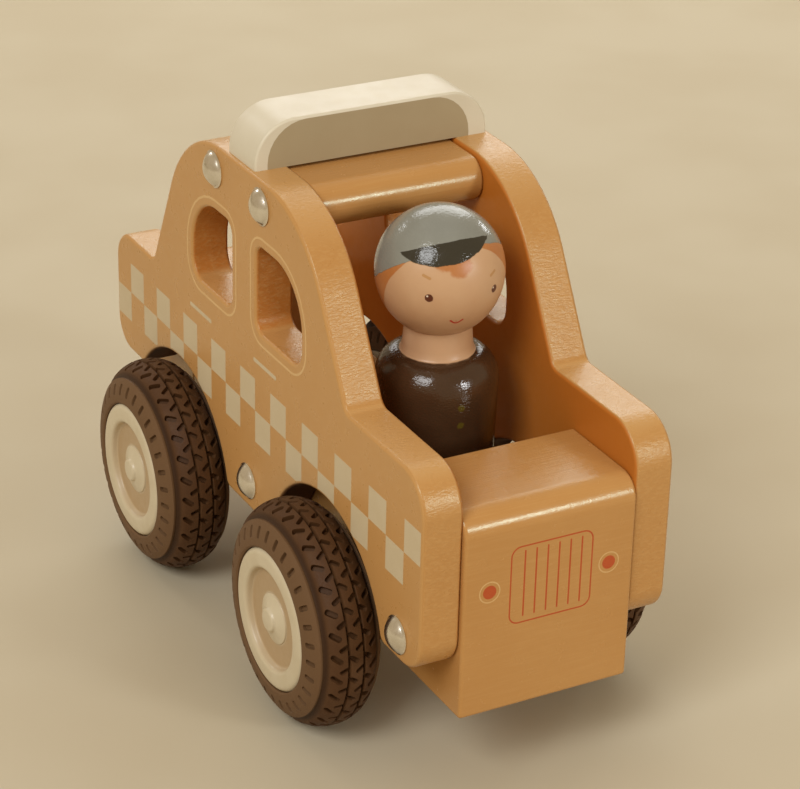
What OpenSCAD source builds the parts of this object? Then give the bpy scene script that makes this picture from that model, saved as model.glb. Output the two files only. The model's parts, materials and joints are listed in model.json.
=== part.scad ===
// Wooden toy taxi: two thick side panels nailed to cross blocks, rolling on two axles,
// with a roof sign and a loose driver figure.
// Millimetres. +Z up, the front faces -Y, the origin is on the ground under the middle.
// Left and right are the driver's own, so the left side is +X.

/* [Side panels] */
// Length from the front of the bonnet block to the rear of the boot block
body_l = 164.5; // [140:0.5:190]
// Gap between the two side panels, which is the width of every block and board
inner_w = 42; // [38:0.5:52]
// Thickness of a side panel
panel_t = 9.5; // [7:0.5:12]
// How far each panel end stands back from the block beside it
panel_inset = 1.1; // [0.5:0.1:3]
// Height of the bonnet line above the panel's bottom edge
bonnet_h = 47.1; // [42:0.1:52]
// Height of the boot line above the panel's bottom edge
boot_h = 42; // [38:0.1:47]
// Height of the roof line above the panel's bottom edge
roof_h = 85; // [78:0.5:96]
// How far the panel's tail behind the rear wheel is raised above its bottom edge
tail_up = 10.8; // [8:0.1:13]
// Distance of the windscreen foot behind the bonnet block
screen_foot_in = 10.2; // [6:0.1:14]
// Distance of the rear pillar foot behind the front of the boot block
rear_foot_out = 2.2; // [-2:0.1:5]
// Angle of the windscreen pillar from level
windscreen_lean = 60.3; // [54:0.1:70]
// Angle of the rear pillar from level
rear_lean = 65; // [58:0.1:72]
// Radius where the pillars bend into the roof line
roof_bend_r = 31.5; // [22:0.5:34]
// Radius of the bonnet's upper front corner
bonnet_corner_r = 9.8; // [5:0.1:12]
// Radius of the other outer corners of the panel
corner_r = 7.8; // [4:0.1:10]
// Radius in the two corners where a pillar meets the bonnet or the boot
foot_r = 3; // [1:0.1:6]
// Radius where a wheel arch runs out into the bottom edge
arch_lip_r = 2.5; // [1:0.1:3.5]

/* [Windows] */
// Height of the window sill above the bonnet line
sill_up = 0.5; // [0:0.1:4]
// Height of panel left above the windows
head_band = 16.3; // [14:0.1:20]
// Width of the front window
front_window_w = 23.2; // [18:0.1:26]
// Width of the rear window
rear_window_w = 22; // [17:0.1:25]
// Width of the pillar between the windows
pillar_w = 12.9; // [9:0.1:16]
// How far that pillar stands ahead of the middle of the roof line
pillar_fwd = 1.2; // [-3:0.1:4]
// Radius of the swept upper corner of a window
window_sweep_r = 13.3; // [6:0.1:15]
// Radius of the lower corner under the swept one
window_low_r = 5; // [2:0.1:7]
// Radius of the two corners beside the pillar
window_r = 3.2; // [1:0.1:5]

/* [Blocks and boards] */
// Length of the chassis board and of the cabin floor, between the bonnet and boot blocks
board_l = 111.5; // [100:0.5:120]
// How far a block's top lies below the panel line beside it
block_drop = 10; // [6:0.1:14]
// Radius of a block's upper outer edge
block_nose_r = 5.5; // [2:0.1:9]
// Radius of a block's lower outer edge
block_toe_r = 1; // [0.4:0.1:3]
// Thickness of the chassis board
chassis_t = 12; // [10:0.1:15]
// Thickness of the cabin floor board
floor_t = 14; // [10:0.1:17]
// Length of the roof plank
roof_l = 42.7; // [38:0.1:46]
// Thickness of the roof plank
roof_t = 10.5; // [8:0.1:12]
// How far the plank's top lies below the panel tops
roof_drop = 0.8; // [0.3:0.1:2]
// How far the plank's middle lies behind the middle of the roof line
roof_back = 1.8; // [0:0.1:4]

/* [Roof sign] */
// Length of the sign along the car
sign_l = 14; // [11:0.1:18]
// Height of the sign
sign_h = 11.2; // [9:0.1:16]
// Radius of the sign's upper corners
sign_corner_r = 10; // [4:0.1:12]
// How far each end of the sign stands back from the panel's outer face
sign_inset = 1.1; // [0.3:0.1:4]
// Distance between the two sign dowels
sign_dowel_span = 30; // [20:0.5:34]
// Depth of a sign dowel in the plank, and in the sign
sign_dowel_depth = 7; // [5:0.1:7.5]

/* [Wheels and axles] */
// Outer diameter of a tyre
tyre_d = 52.4; // [48:0.1:57]
// Width of a tyre
tyre_w = 18.2; // [15:0.1:20]
// Gap between a tyre and its wheel arch
arch_gap = 1.7; // [1:0.1:2.2]
// Distance between the axles
wheelbase = 78.8; // [74:0.1:84]
// How far the middle between the axles lies behind the middle of the body
axles_back = 3.45; // [0:0.05:6]
// Distance from a panel's outer face to the middle of the wheel beside it
wheel_out = 4.6; // [3.5:0.1:10]
// Outer diameter of a hub
rim_d = 33.4; // [28:0.1:37]
// Depth of the seat that the tyre sits in
rim_seat = 1.7; // [1:0.1:2.5]
// Width of the flat lip around the hub's dish
rim_lip = 4.7; // [3:0.1:6]
// Thickness of each hub flange beside the tyre
flange_t = 2.2; // [1.5:0.1:3]
// Depth of the hub's dish
dish_depth = 1.75; // [1:0.05:2.6]
// Thickness of the hub's web
web_t = 2.5; // [2:0.1:4]
// Diameter of the hub's boss
boss_d = 10; // [8:0.1:11]
// Diameter of a hub cap
cap_d = 11; // [8:0.1:13]
// Height of a hub cap above the dish
cap_h = 2.1; // [1:0.1:3]
// Diameter of the plug under a hub cap
cap_plug_d = 7; // [5.5:0.1:8]
// Depth of the plug under a hub cap
cap_plug_h = 1.2; // [0.8:0.1:1.5]
// Diameter of an axle
axle_d = 4; // [3:0.1:4.5]
// Thickness of an axle washer
washer_t = 0.8; // [0.5:0.1:1.5]
// Width of a tread groove
groove_w = 0.7; // [0.4:0.1:1.2]
// Depth of a tread groove
groove_depth = 1; // [0.5:0.1:1.5]

/* [Driver] */
// Height of the figure
figure_h = 69.8; // [66:0.1:78]
// Diameter of the head
head_d = 28.9; // [26:0.1:31]
// Diameter of the neck
neck_d = 17.2; // [14:0.1:20]
// Height of the shoulders above the figure's base
shoulder_h = 37; // [32:0.1:39]
// Radius of the shoulders
shoulder_r = 9; // [6:0.1:11]
// Diameter of the body under the shoulders
torso_d = 28.2; // [26:0.1:31]
// Diameter of the figure's base
base_d = 26; // [22:0.1:29]
// Gap between the head and the roof plank behind it
figure_gap = 3.6; // [1:0.1:8]

/* [Fasteners] */
// Diameter of a dowel
dowel_d = 6; // [4:0.1:8]
// Depth of a boot dowel in the panel, and in the boot block
boot_dowel_depth = 6; // [4:0.1:6.5]
// Diameter of a dome nail's head
nail_head_d = 8.8; // [7:0.1:11]
// Height of a dome nail's head
nail_head_h = 2.5; // [1.8:0.1:3.2]
// Diameter of a dome nail's shank
nail_d = 2.6; // [2:0.1:3.5]
// Length of a dome nail's shank
nail_l = 24; // [20:0.5:26]
// Height of the front nails above the panel's bottom edge
nail_up = 6; // [5.5:0.1:9]
// Distance of the roof nails from the plank's ends
roof_nail_in = 9; // [7:0.1:12]
// Diameter of a chassis screw's shank
screw_d = 3.5; // [3:0.1:4]
// Diameter of a chassis screw's head
screw_head_d = 7; // [6:0.1:8]
// Length of a chassis screw
screw_l = 20; // [17:0.5:21]
// Distance of the chassis screws from the axle, towards the middle
screw_from_axle = 15; // [12:0.1:20]
// Distance between the two screws beside one axle
screw_span = 26; // [20:0.5:28]

/* [Fits] */
// Radial clearance of an axle in the chassis board
run_clear = 0.08; // [0.02:0.01:0.1]
// Clearance around pieces that are pressed or glued together
seat_clear = 0.02; // [0.01:0.01:0.05]
// End play between the chassis board, a washer and a hub boss
side_play = 0.25; // [0.1:0.05:0.5]

/* [Hidden] */
$fn = 96;

ochre = "#cf9450";
white = "#e6e0c8";
cream = "#ded3b4";
brown = "#6a4e38";
steel = "#b8b8b4";
bare_wood = "#d9bd8a";
coat = "#4a3326";

// Degrees of arc between two points of a rounded corner
arc_step = 6;
// How far a cutting shape runs past the face that it cuts
past = 1;

// Heights above the ground
axle_z = tyre_d / 2;
belly_z = axle_z - chassis_t / 2;
panel_z = belly_z + chassis_t;
floor_z = panel_z + floor_t;
bonnet_z = panel_z + bonnet_h;
boot_z = panel_z + boot_h;
tail_z = panel_z + tail_up;
roof_z = panel_z + roof_h;
plank_z = roof_z - roof_drop - roof_t;
bonnet_block_z = bonnet_z - block_drop;
boot_block_z = boot_z - block_drop;

// Places along the car
front_y = -body_l / 2;
rear_y = body_l / 2;
panel_front_y = front_y + panel_inset;
panel_rear_y = rear_y - panel_inset;
front_axle_y = axles_back - wheelbase / 2;
rear_axle_y = axles_back + wheelbase / 2;
board_front_y = -board_l / 2;
board_rear_y = board_l / 2;
screen_foot_y = board_front_y + screen_foot_in;
rear_foot_y = board_rear_y + rear_foot_out;
roof_front_y = screen_foot_y + (roof_h - bonnet_h) / tan(windscreen_lean);
roof_rear_y = rear_foot_y - (roof_h - boot_h) / tan(rear_lean);
roof_mid_y = (roof_front_y + roof_rear_y) / 2;
plank_y = roof_mid_y + roof_back;
pillar_y = roof_mid_y - pillar_fwd;
figure_y = plank_y - roof_l / 2 - figure_gap - head_d / 2;
front_screw_y = front_axle_y + screw_from_axle;
rear_screw_y = rear_axle_y - screw_from_axle;

// Places across the car
panel_x = inner_w / 2;
outer_x = panel_x + panel_t;
wheel_x = outer_x + wheel_out;

// Wheel arch, and the panel's corners, which give way where their neighbours leave little room
arch_r = tyre_d / 2 + arch_gap;
front_low_r = min(corner_r, front_axle_y - lip_reach(panel_z) - panel_front_y - seat_clear);
rear_low_r = min(corner_r, panel_rear_y - rear_axle_y - lip_reach(tail_z) - seat_clear);
boot_corner_r = min(corner_r, panel_rear_y - rear_foot_y - foot_r * tan(rear_lean / 2) - seat_clear);
roof_r = min(roof_bend_r, (roof_rear_y - roof_front_y - seat_clear)
                          / (tan(windscreen_lean / 2) + tan(rear_lean / 2)));

// Windows
sill_z = bonnet_z + sill_up;
window_h = roof_z - head_band - sill_z;
sweep_r = min(window_sweep_r, window_h - window_low_r - seat_clear);

// Nails, as places [y, z] on a panel
nail_z = panel_z + nail_up;
arch_half = sqrt(arch_r * arch_r - pow(nail_z - axle_z, 2));
front_nail = [(panel_front_y + front_axle_y - arch_half) / 2, nail_z];
floor_nail = [(front_axle_y + rear_axle_y) / 2, floor_z - floor_t / 2];
roof_nail_y = roof_l / 2 - roof_nail_in;
roof_nails = [for (way = [-1, 1]) [plank_y + way * roof_nail_y, plank_z + roof_t / 2]];
panel_nails = concat([front_nail, floor_nail], roof_nails);
dome_r = (pow(nail_head_d / 2, 2) + nail_head_h * nail_head_h) / (2 * nail_head_h);

// Hub, measured along the axle from the middle of the wheel outwards
rim_r = rim_d / 2;
seat_r = rim_r - rim_seat;
dish_r = rim_r - rim_lip;
rim_half = tyre_w / 2 + seat_clear;
dish_a = rim_half - dish_depth;
web_a = dish_a - web_t;
plug_a = dish_a - cap_plug_h;
boss_a = panel_x + washer_t + 2 * side_play - wheel_x;
cap_dome_r = (pow(cap_d / 2, 2) + cap_h * cap_h) / (2 * cap_h);
axle_half = wheel_x + plug_a - seat_clear;
lip_round = 0.9;

// Tyre: its bead on the hub, how square its section is and how near the bead its curve
// ends, and where its grooves run, as shares of its half width
bead_r = rim_r + seat_clear;
bead_in = 0.3;
squareness = 2.07;
bead_angle = 88;
tyre_step = 4;
groove_places = [-0.69, -0.2, 0.2, 0.69];

// Driver
head_z = floor_z + figure_h - head_d / 2;
shoulder_z = floor_z + shoulder_h;
foot_round = 1;

// A point's direction from another, of length one
function unit(v) = v / norm(v);

// Points of a corner at b, between a and c, rounded to radius r
function corner(a, b, c, r) =
    r <= 0 ? [b] :
    let (
        u = unit(a - b),
        v = unit(c - b),
        half = acos(u * v) / 2,
        centre = b + unit(u + v) * r / sin(half),
        first = b + u * r / tan(half) - centre,
        start = atan2(first.y, first.x),
        turn = 180 - 2 * half,
        way = cross(-u, v) > 0 ? 1 : -1,
        steps = ceil(turn / arc_step)
    )
    [for (k = [0 : steps]) centre + r * [cos(start + way * turn * k / steps),
                                         sin(start + way * turn * k / steps)]];

// Points of a round stretch
function arc(centre, r, from, to) =
    let (steps = ceil(abs(to - from) / arc_step))
    [for (k = [0 : steps]) centre + r * [cos(from + (to - from) * k / steps),
                                         sin(from + (to - from) * k / steps)]];

function flat(p) = [p.x, p.y];
function joined(lists) = [for (points = lists) for (p = points) p];

// Corner k of an outline whose corners are [x, y, radius]
function outline_corner(p, k) =
    let (n = len(p))
    corner(flat(p[(k + n - 1) % n]), flat(p[k]), flat(p[(k + 1) % n]), p[k].z);

function rounded(p) = joined([for (k = [0 : len(p) - 1]) outline_corner(p, k)]);

// Where a lip is centred that rounds an arch into an edge at height z: how far from the
// axle along the car, and how steeply above it
function lip_rise(z) = z + arch_lip_r - axle_z;
function lip_reach(z) = sqrt(pow(arch_r + arch_lip_r, 2) - pow(lip_rise(z), 2));
function lip_angle(z) = asin(lip_rise(z) / (arch_r + arch_lip_r));

// Wheel arch about y with its two lips, from the edge at front_z to the edge at rear_z
function arch(y, front_z, rear_z) = concat(
    arc([y - lip_reach(front_z), front_z + arch_lip_r], arch_lip_r, -90, -lip_angle(front_z)),
    arc([y, axle_z], arch_r, 180 - lip_angle(front_z), lip_angle(rear_z)),
    arc([y + lip_reach(rear_z), rear_z + arch_lip_r], arch_lip_r, 180 + lip_angle(rear_z), 270)
);

// Side panel seen from the side: from the rear arch up over the roof to the front arch,
// then along the bottom edge. The first and the last corner only give the edges' direction.
panel_corners = [
    [rear_axle_y, tail_z, 0],
    [panel_rear_y, tail_z, rear_low_r],
    [panel_rear_y, boot_z, boot_corner_r],
    [rear_foot_y, boot_z, foot_r],
    [roof_rear_y, roof_z, roof_r],
    [roof_front_y, roof_z, roof_r],
    [screen_foot_y, bonnet_z, foot_r],
    [panel_front_y, bonnet_z, bonnet_corner_r],
    [panel_front_y, panel_z, front_low_r],
    [front_axle_y, panel_z, 0]
];
panel_outline = concat(
    joined([for (k = [1 : len(panel_corners) - 2]) outline_corner(panel_corners, k)]),
    arch(front_axle_y, panel_z, panel_z),
    arch(rear_axle_y, panel_z, tail_z)
);

// Window seen from the side: way is -1 for the front one and 1 for the rear one
function window_outline(way, w) =
    let (near = pillar_y + way * pillar_w / 2, far = near + way * w, top = sill_z + window_h)
    rounded([[near, sill_z, window_r], [far, sill_z, window_low_r], [far, top, sweep_r],
             [near, top, window_r]]);

// Tyre section from the outer bead over the tread to the inner bead, as [radius, place]
function tyre_point(t) = [
    bead_r + (axle_z - bead_r) * pow(cos(t), 2 / squareness),
    sign(t) * (tyre_w / 2) * pow(abs(sin(t)), 2 / squareness)
];
tyre_curve = [for (t = [bead_angle : -tyre_step : -bead_angle]) tyre_point(t)];
bead_a = tyre_w / 2 - bead_in;
seat_a = rim_half - flange_t - seat_clear;
tyre_section = concat(
    [[seat_r + seat_clear, -seat_a], [seat_r + seat_clear, seat_a], [bead_r, seat_a],
     [bead_r, bead_a]],
    tyre_curve,
    [[bead_r, -bead_a], [bead_r, -seat_a]]
);

// Hub section, as [radius, place, rounding]
axle_hole_r = axle_d / 2 + seat_clear;
plug_hole_r = cap_plug_d / 2 + seat_clear;
drum_r = seat_r - web_t;
hub_section = [
    [axle_hole_r, boss_a, 0], [boss_d / 2, boss_a, 0], [boss_d / 2, web_a, 0],
    [drum_r, web_a, 0], [drum_r, -rim_half, 0], [rim_r, -rim_half, lip_round],
    [rim_r, flange_t - rim_half, 0], [seat_r, flange_t - rim_half, 0],
    [seat_r, rim_half - flange_t, 0], [rim_r, rim_half - flange_t, 0],
    [rim_r, rim_half, lip_round], [dish_r, rim_half, lip_round], [dish_r, dish_a, 0],
    [plug_hole_r, dish_a, 0], [plug_hole_r, plug_a, 0], [axle_hole_r, plug_a, 0]
];

// Draws an outline of [y, z] as a board of thickness t across the car, from x = 0
module board(t) { rotate([90, 0, 90]) linear_extrude(t) children(); }

// Turns a shape along +Z so that it runs along +X
module across() { rotate([0, 90, 0]) children(); }

// Puts a shape that is drawn on the left side on the side asked for
module on_side(way) { mirror([way < 0 ? 1 : 0, 0, 0]) children(); }

// Holes of the nails at the places given, through everything from the middle outwards
module nail_holes(places, way) {
    for (p = places)
        on_side(way) translate([outer_x - nail_l - seat_clear, p[0], p[1]])
            across() cylinder(h = nail_l + seat_clear + past, r = nail_d / 2 + seat_clear);
}

module nail_holes_both(places) {
    nail_holes(places, 1);
    nail_holes(places, -1);
}

module side_panel(way) {
    color(ochre) difference() {
        on_side(way) translate([panel_x, 0, 0]) board(panel_t) polygon(panel_outline);
        on_side(way) translate([panel_x - past, 0, 0]) board(panel_t + 2 * past) {
            polygon(window_outline(-1, front_window_w));
            polygon(window_outline(1, rear_window_w));
        }
        nail_holes(panel_nails, way);
        at_boot_dowel(way) dowel(boot_dowel_depth, boot_dowel_depth, seat_clear);
    }
}

module left_side_panel() { side_panel(1); }

module right_side_panel() { side_panel(-1); }

// Block between the panels, from its outer end y to its inner end
module end_block(y, inner_y, low_z, top_z) {
    translate([-panel_x, 0, 0]) board(inner_w)
        polygon(rounded([[inner_y, low_z, 0], [y, low_z, block_toe_r],
                         [y, top_z, block_nose_r], [inner_y, top_z, 0]]));
}

module bonnet_block() {
    color(ochre) difference() {
        end_block(front_y, board_front_y, belly_z, bonnet_block_z);
        nail_holes_both([front_nail]);
    }
}

// The boot block reaches down to the cabin floor's underside
module boot_block() {
    color(ochre) difference() {
        end_block(rear_y, board_rear_y, panel_z, boot_block_z);
        for (way = [-1, 1])
            at_boot_dowel(way) dowel(boot_dowel_depth, boot_dowel_depth, seat_clear);
    }
}

// Puts a shape at each chassis screw, with its head at the chassis board's underside
module at_screws() {
    for (y = [front_screw_y, rear_screw_y])
        for (way = [-1, 1])
            translate([way * screw_span / 2, y, belly_z]) children();
}

// Countersunk screw with its head down, grown all round by clear
module screw_body(clear) {
    head_r = screw_head_d / 2 + clear;
    shank_r = screw_d / 2 + clear;
    cylinder(h = head_r - shank_r, r1 = head_r, r2 = shank_r);
    cylinder(h = screw_l + clear, r = shank_r);
}

module chassis_board() {
    color(ochre) difference() {
        translate([-panel_x, board_front_y, belly_z]) cube([inner_w, board_l, chassis_t]);
        for (y = [front_axle_y, rear_axle_y])
            translate([-panel_x - past, y, axle_z])
                across() cylinder(h = inner_w + 2 * past, r = axle_d / 2 + run_clear);
        at_screws() screw_body(seat_clear);
    }
}

module cabin_floor() {
    color(ochre) difference() {
        translate([-panel_x, board_front_y, panel_z]) cube([inner_w, board_l, floor_t]);
        at_screws() screw_body(seat_clear);
        nail_holes_both([floor_nail]);
    }
}

module roof_plank() {
    round_r = roof_t / 2 - seat_clear;
    front = plank_y - roof_l / 2;
    rear = plank_y + roof_l / 2;
    top = plank_z + roof_t;
    color(ochre) difference() {
        translate([-panel_x, 0, 0]) board(inner_w)
            polygon(rounded([[front, plank_z, round_r], [rear, plank_z, round_r],
                             [rear, top, round_r], [front, top, round_r]]));
        nail_holes_both(roof_nails);
        at_sign_dowels() dowel(sign_dowel_depth, roof_drop + sign_dowel_depth, seat_clear);
    }
}

// Dowel along +Z that reaches below and above the place it stands at, grown all round by clear
module dowel(below, above, clear) {
    translate([0, 0, -below - clear])
        cylinder(h = below + above + 2 * clear, r = dowel_d / 2 + clear);
}

// Puts a shape at each sign dowel, on the plank's top
module at_sign_dowels() {
    for (way = [-1, 1])
        translate([way * sign_dowel_span / 2, plank_y, plank_z + roof_t]) children();
}

// Puts a shape at the boot dowel of one side, on the panel's inner face, in the middle of
// where the panel and the boot block meet
module at_boot_dowel(way) {
    on_side(way)
        translate([panel_x, (board_rear_y + panel_rear_y) / 2, (tail_z + boot_block_z) / 2])
            across() children();
}

module roof_sign() {
    half_w = outer_x - sign_inset;
    top_r = min(sign_corner_r, sign_h - seat_clear);
    color(white) difference() {
        translate([0, plank_y + sign_l / 2, roof_z]) rotate([90, 0, 0]) linear_extrude(sign_l)
            polygon(rounded([[-half_w, 0, 0], [half_w, 0, 0], [half_w, sign_h, top_r],
                             [-half_w, sign_h, top_r]]));
        at_sign_dowels() dowel(sign_dowel_depth, roof_drop + sign_dowel_depth, seat_clear);
    }
}

module sign_dowels() {
    color(bare_wood) at_sign_dowels() dowel(sign_dowel_depth, roof_drop + sign_dowel_depth, 0);
}

module boot_dowels() {
    color(bare_wood) for (way = [-1, 1])
        at_boot_dowel(way) dowel(boot_dowel_depth, boot_dowel_depth, 0);
}

// Dome nail with its head on the plane x = 0 and its shank along -X
module dome_nail() {
    across() union() {
        intersection() {
            translate([0, 0, nail_head_h - dome_r]) sphere(r = dome_r);
            cylinder(h = nail_head_h, r = nail_head_d / 2);
        }
        translate([0, 0, -nail_l]) cylinder(h = nail_l + nail_head_h / 2, r = nail_d / 2);
    }
}

module dome_nails(way) {
    color(steel) on_side(way)
        for (p = panel_nails)
            translate([outer_x, p[0], p[1]]) dome_nail();
}

module left_dome_nails() { dome_nails(1); }

module right_dome_nails() { dome_nails(-1); }

module chassis_screws() {
    slot_w = screw_head_d / 7;
    slot_depth = screw_head_d / 6;
    slot_l = screw_head_d / 2;
    color(steel) at_screws() difference() {
        screw_body(0);
        for (turn = [0, 90])
            rotate(turn) translate([-slot_l / 2, -slot_w / 2, -past])
                cube([slot_l, slot_w, slot_depth + past]);
    }
}

module axle(y) {
    color(steel) translate([-axle_half, y, axle_z])
        across() cylinder(h = 2 * axle_half, r = axle_d / 2);
}

module front_axle() { axle(front_axle_y); }

module rear_axle() { axle(rear_axle_y); }

module washers(y) {
    color(cream) for (way = [-1, 1])
        on_side(way) translate([panel_x + side_play, y, axle_z]) across() difference() {
            cylinder(h = washer_t, r = boss_d / 2);
            translate([0, 0, -past]) cylinder(h = washer_t + 2 * past, r = axle_d / 2 + run_clear);
        }
}

module front_washers() { washers(front_axle_y); }

module rear_washers() { washers(rear_axle_y); }

// Puts a turned shape, drawn along +Z from the middle of a wheel, at the wheel asked for
module at_wheel(way, y) { on_side(way) translate([wheel_x, y, axle_z]) across() children(); }

module hub(way, y) {
    color(cream) at_wheel(way, y) rotate_extrude() polygon(rounded(hub_section));
}

module front_left_hub() { hub(1, front_axle_y); }

module front_right_hub() { hub(-1, front_axle_y); }

module rear_left_hub() { hub(1, rear_axle_y); }

module rear_right_hub() { hub(-1, rear_axle_y); }

// Tyre with plain grooves round its tread, each at its share of the half width
module tyre(way, y) {
    color(brown) at_wheel(way, y) difference() {
        rotate_extrude() polygon(tyre_section);
        for (share = groove_places) {
            tread_r = tyre_point(asin(pow(abs(share), squareness / 2))).x;
            translate([0, 0, share * tyre_w / 2 - groove_w / 2]) difference() {
                cylinder(h = groove_w, r = axle_z + past);
                translate([0, 0, -past]) cylinder(h = groove_w + 2 * past, r = tread_r - groove_depth);
            }
        }
    }
}

module front_left_tyre() { tyre(1, front_axle_y); }

module front_right_tyre() { tyre(-1, front_axle_y); }

module rear_left_tyre() { tyre(1, rear_axle_y); }

module rear_right_tyre() { tyre(-1, rear_axle_y); }

// Domed cap on the hub's dish, with a plug that closes the hole over the axle's end
module cap(way, y) {
    color(cream) at_wheel(way, y) translate([0, 0, dish_a]) union() {
        intersection() {
            translate([0, 0, cap_h - cap_dome_r]) sphere(r = cap_dome_r);
            cylinder(h = cap_h, r = cap_d / 2);
        }
        translate([0, 0, -cap_plug_h]) cylinder(h = cap_plug_h + cap_h / 2, r = cap_plug_d / 2);
    }
}

module front_left_cap() { cap(1, front_axle_y); }

module front_right_cap() { cap(-1, front_axle_y); }

module rear_left_cap() { cap(1, rear_axle_y); }

module rear_right_cap() { cap(-1, rear_axle_y); }

// Driver figure, turned in one piece
module driver_figure() {
    color(coat) translate([0, figure_y, 0]) union() {
        rotate_extrude() polygon(rounded([
            [0, floor_z, 0], [base_d / 2, floor_z, foot_round],
            [torso_d / 2, shoulder_z, shoulder_r], [0, shoulder_z, 0]]));
        translate([0, 0, shoulder_z - shoulder_r / 2])
            cylinder(h = head_z - shoulder_z + shoulder_r / 2, r = neck_d / 2);
        translate([0, 0, head_z]) sphere(d = head_d);
    }
}

left_side_panel();
right_side_panel();
bonnet_block();
boot_block();
chassis_board();
cabin_floor();
roof_plank();
roof_sign();
sign_dowels();
boot_dowels();
left_dome_nails();
right_dome_nails();
chassis_screws();
front_axle();
rear_axle();
front_washers();
rear_washers();
front_left_hub();
front_right_hub();
rear_left_hub();
rear_right_hub();
front_left_tyre();
front_right_tyre();
rear_left_tyre();
rear_right_tyre();
front_left_cap();
front_right_cap();
rear_left_cap();
rear_right_cap();
driver_figure();
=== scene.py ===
import json
import math

import bmesh
import bpy
from mathutils import Matrix, Vector


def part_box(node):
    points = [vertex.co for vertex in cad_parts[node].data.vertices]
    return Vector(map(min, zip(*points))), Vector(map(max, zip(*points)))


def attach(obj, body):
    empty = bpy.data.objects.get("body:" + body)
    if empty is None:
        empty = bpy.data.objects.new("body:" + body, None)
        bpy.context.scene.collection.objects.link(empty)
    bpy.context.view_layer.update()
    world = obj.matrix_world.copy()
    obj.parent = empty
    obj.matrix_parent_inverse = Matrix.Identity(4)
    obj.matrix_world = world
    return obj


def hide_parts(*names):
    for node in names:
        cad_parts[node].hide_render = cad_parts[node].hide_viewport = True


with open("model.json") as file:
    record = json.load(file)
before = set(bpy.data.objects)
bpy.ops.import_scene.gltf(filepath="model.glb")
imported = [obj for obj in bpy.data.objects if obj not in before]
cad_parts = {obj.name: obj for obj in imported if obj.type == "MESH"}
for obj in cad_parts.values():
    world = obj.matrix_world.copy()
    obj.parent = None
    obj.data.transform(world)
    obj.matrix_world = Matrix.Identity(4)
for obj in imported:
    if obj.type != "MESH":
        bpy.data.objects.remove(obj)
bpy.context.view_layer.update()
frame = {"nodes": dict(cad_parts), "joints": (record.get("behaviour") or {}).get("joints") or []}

MM = 0.001
X, Y, Z = Vector((1, 0, 0)), Vector((0, 1, 0)), Vector((0, 0, 1))
BODY = "taxi_body"
FULL_TURN = 2 * math.pi
SIDES = {"left": 1, "right": -1}


# Places read from the frame

def middle(node):
    low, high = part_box(node)
    return (low + high) / 2


def size(node):
    low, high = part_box(node)
    return high - low


AXLES = {joint["child"]: Vector(joint["pos_m"])
         for joint in frame["joints"] if joint["type"] == "hinge"}
FRONT_AXLE = AXLES["front_wheelset"]
REAR_AXLE = AXLES["rear_wheelset"]
PANEL_LOW, PANEL_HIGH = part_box("left_side_panel")
OUTER_X = PANEL_HIGH.x
WHEEL_X = middle("front_left_tyre").x
TYRE_R = size("front_left_tyre").z / 2
TYRE_HALF = size("front_left_tyre").x / 2
FLOOR_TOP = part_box("cabin_floor")[1].z
FIGURE = middle("driver_figure")
FIGURE_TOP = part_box("driver_figure")[1].z


# Openings of the side panels in mm: windows by middle and size, and their corners' radii

ARCH_R = 27.9
WINDOWS = {"front": (-12.26, 90.35, 23.2, 21.1), "rear": (23.24, 90.35, 22.0, 21.1)}
WINDOW_CORNERS = {"front": (5.0, 3.2, 3.2, 13.3), "rear": (3.2, 5.0, 13.3, 3.2)}


# Hand tools

WELD = 0.001
ROUND_STEPS = 6


def rest():
    """Leaves edit mode with nothing picked."""
    if bpy.context.object and bpy.context.object.mode != "OBJECT":
        bpy.ops.object.mode_set(mode="OBJECT")
    bpy.ops.object.select_all(action="DESELECT")


def take(*pieces):
    """Picks these pieces and no others. The first is the active one."""
    rest()
    for piece in pieces:
        piece.select_set(True)
    bpy.context.view_layer.objects.active = pieces[0]


def work_on(piece):
    """Opens a piece in edit mode with all of it picked."""
    take(piece)
    bpy.ops.object.mode_set(mode="EDIT")
    bpy.ops.mesh.select_mode(type="VERT")
    bpy.ops.mesh.select_all(action="SELECT")


def pick(piece, kind, test):
    """In edit mode, picks the vertices, edges or faces that pass the test, and no others."""
    bpy.ops.mesh.select_mode(type=kind)
    bpy.ops.mesh.select_all(action="DESELECT")
    shape = bmesh.from_edit_mesh(piece.data)
    for item in {"VERT": shape.verts, "EDGE": shape.edges, "FACE": shape.faces}[kind]:
        if test(item):
            item.select_set(True)
    shape.select_flush_mode()
    bmesh.update_edit_mesh(piece.data)


def shaped(piece, kind, **settings):
    """Adds a modifier and applies it."""
    take(piece)
    modifier = piece.modifiers.new(kind.title(), kind)
    for key, value in settings.items():
        setattr(modifier, key, value)
    bpy.ops.object.modifier_apply(modifier=modifier.name)


def closed(piece):
    """Merges doubled points and turns all faces outwards."""
    work_on(piece)
    bpy.ops.mesh.remove_doubles(threshold=WELD * MM)
    bpy.ops.mesh.normals_make_consistent(inside=False)
    rest()


def smoothed(piece, angle):
    """Shades a piece smooth, except over edges sharper than this angle."""
    take(piece)
    bpy.ops.object.shade_smooth_by_angle(angle=math.radians(angle))
    rest()


def copied(piece, name, matrix):
    """A copy with a mesh of its own, put elsewhere."""
    twin = bpy.data.objects.new(name, piece.data.copy())
    bpy.context.scene.collection.objects.link(twin)
    twin.data.transform(matrix)
    if matrix.determinant() < 0:
        twin.data.flip_normals()
    return twin


def joined(name, pieces):
    """Makes one piece of several."""
    take(*pieces)
    bpy.ops.object.join()
    piece = bpy.context.object
    piece.name = name
    rest()
    return piece


def fitted(piece, body, slot, material, *nodes):
    """Gives a finished piece its finish and its body, and hides the nodes that it stands for."""
    piece.data.materials.clear()
    piece.data.materials.append(material)
    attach(piece, body)
    if nodes:
        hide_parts(*nodes)


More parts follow.
